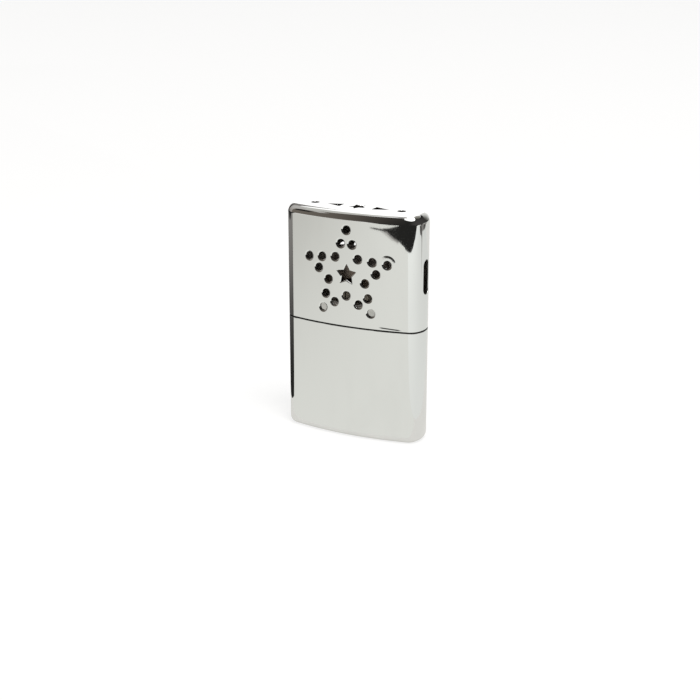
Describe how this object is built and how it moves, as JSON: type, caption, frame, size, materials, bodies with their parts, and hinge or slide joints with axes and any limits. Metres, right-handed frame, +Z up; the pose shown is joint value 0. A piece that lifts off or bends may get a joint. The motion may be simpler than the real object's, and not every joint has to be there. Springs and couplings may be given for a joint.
{
  "type": "catalytic hand warmer",
  "caption": "Pocket catalytic hand warmer: chromed fuel tank with filler neck, pull-off burner, and a lid pierced with a star of round holes that slides over the tank's collar.",
  "frame": {"origin": "middle of the flat base, on the surface that the warmer stands on", "axes": "+Z up along the height, +X along the width, the front with the star faces -Y"},
  "size_m": [0.064, 0.022, 0.1],
  "materials": {
    "case_chrome": "polished chrome plate with fine wear",
    "collar_steel": "bright nickelled steel with fine rub marks from the lid",
    "neck_steel": "bright drawn steel",
    "scorched_steel": "heat tinted brown grey steel",
    "gauze_wire": "woven stainless wire, slightly blued",
    "glass_fibre": "grey needled glass fibre",
    "cotton": "loose white cotton wadding",
    "felt": "cream wool felt"
  },
  "bodies": {
    "tank": {"tank_shell": "case_chrome", "tank_cap": "collar_steel", "filler_neck": "neck_steel", "neck_grille": "neck_steel", "wick_pad": "felt", "cotton_upper": "cotton", "cotton_lower": "cotton"},
    "burner": {"burner_frame": "scorched_steel", "gauze_frame": "scorched_steel", "lower_gauze": "gauze_wire", "catalyst_mat": "glass_fibre", "upper_gauze": "gauze_wire", "gauze_retainer": "scorched_steel", "burner_cover": "scorched_steel"},
    "lid": {"lid_shell": "case_chrome"}
  },
  "joints": [
    {"name": "lid_slide", "type": "slide", "parent": "tank", "child": "lid", "axis": [0, 0, 1], "range_m": [0, 0.05]},
    {"name": "burner_lift", "type": "slide", "parent": "tank", "child": "burner", "axis": [0, 0, 1], "range_m": [0, 0.0165]}
  ]
}
